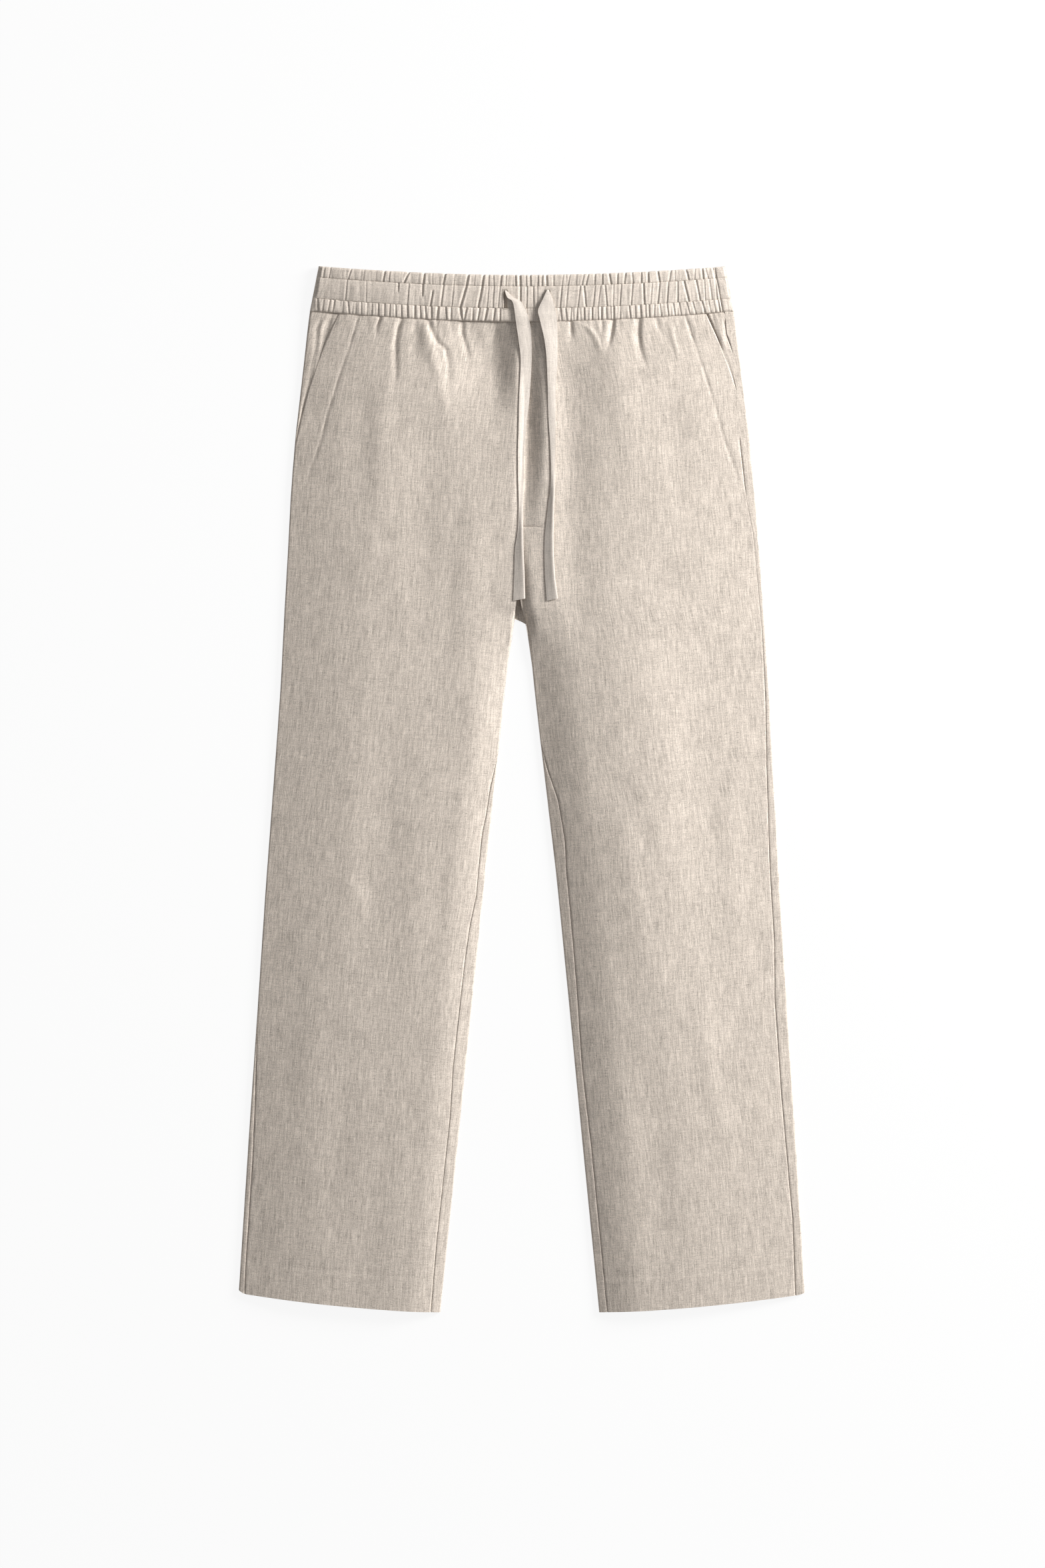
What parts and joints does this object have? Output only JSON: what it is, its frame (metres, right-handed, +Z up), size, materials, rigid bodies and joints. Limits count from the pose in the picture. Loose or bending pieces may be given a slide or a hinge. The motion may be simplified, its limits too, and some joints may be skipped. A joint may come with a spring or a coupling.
{
  "type": "linen joggers",
  "caption": "Wide straight-leg linen joggers laid flat, front up, with a gathered elastic waistband, a flat drawstring with two free ends, slant pockets and turned hems.",
  "frame": {"origin": "middle of the laid garment's footprint, on the surface it lies on", "axes": "+Y towards the waist, +X to the wearer's left, +Z up out of the front"},
  "size_m": [0.5532, 1.022, 0.0175],
  "materials": {
    "linen": "matt slubbed plain-weave linen, natural beige",
    "drawstring_linen": "the same linen cut on the bias as a flat tape"
  },
  "bodies": {
    "root": {"front_left": "linen", "front_right": "linen", "back_left": "linen", "back_right": "linen", "pocket_facing_left": "linen", "pocket_facing_right": "linen", "waistband_front": "linen", "waistband_back": "linen", "drawstring_left": "drawstring_linen", "drawstring_right": "drawstring_linen"}
  },
  "joints": []
}
